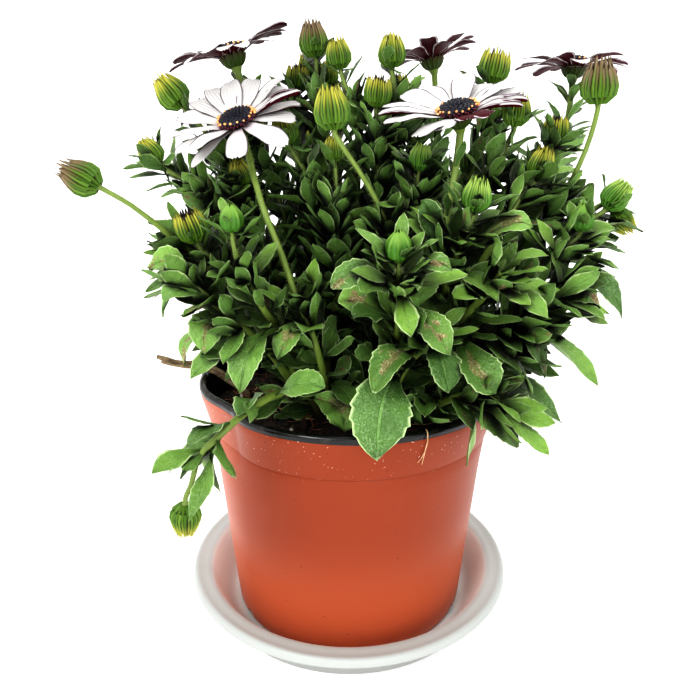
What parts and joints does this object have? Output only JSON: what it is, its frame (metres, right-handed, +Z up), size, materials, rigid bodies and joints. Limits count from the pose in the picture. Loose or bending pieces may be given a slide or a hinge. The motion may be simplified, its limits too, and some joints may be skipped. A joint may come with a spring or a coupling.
{
  "type": "potted osteospermum",
  "caption": "White osteospermum (African daisy) with leafy stems, closed buds and open daisies, in a thin round plastic pot on a flared saucer.",
  "frame": {"origin": "centre of the saucer's underside, on the surface it stands on", "axes": "+Z up through the pot's middle, +X to the right and +Y to the back as the plant faces the viewer"},
  "size_m": [0.249, 0.2127, 0.2795],
  "materials": {
    "saucer": "satin warm white",
    "pot": "satin terracotta colour, black inside and on the rolled rim",
    "soil": "matt dark fibrous peat",
    "foliage": "matt green leaves with paler stems and buds",
    "petals": "matt white above, dark maroon below",
    "disc": "blue-black florets with orange pollen",
    "twig": "dry brown wood"
  },
  "bodies": {
    "root": {"saucer": "saucer", "pot": "pot", "petals_front_left": "petals", "disc_front_left": "disc", "petals_front_right": "petals", "disc_front_right": "disc", "petals_back_left": "petals", "disc_back_left": "disc", "petals_back_right": "petals", "disc_back_right": "disc", "petals_right": "petals", "disc_right": "disc", "stems_side_branch": "foliage", "stems_front_left": "foliage", "stems_left_front": "foliage", "stems_left": "foliage", "stems_left_back": "foliage", "stems_back_left": "foliage", "stems_centre_left": "foliage", "stems_centre_right": "foliage", "stems_front": "foliage", "stems_front_right": "foliage", "stems_front_fan": "foliage", "stems_right_front": "foliage", "stems_right_low": "foliage", "stems_right": "foliage", "stems_right_back": "foliage", "stems_right_far": "foliage", "stems_back": "foliage", "stems_back_middle": "foliage", "stems_back_top": "foliage", "stems_back_right": "foliage", "stems_back_far": "foliage", "stems_right_rear": "foliage", "stems_rear_left": "foliage", "stems_rear": "foliage", "stems_rear_right": "foliage", "soil": "soil", "twig": "twig"}
  },
  "joints": []
}
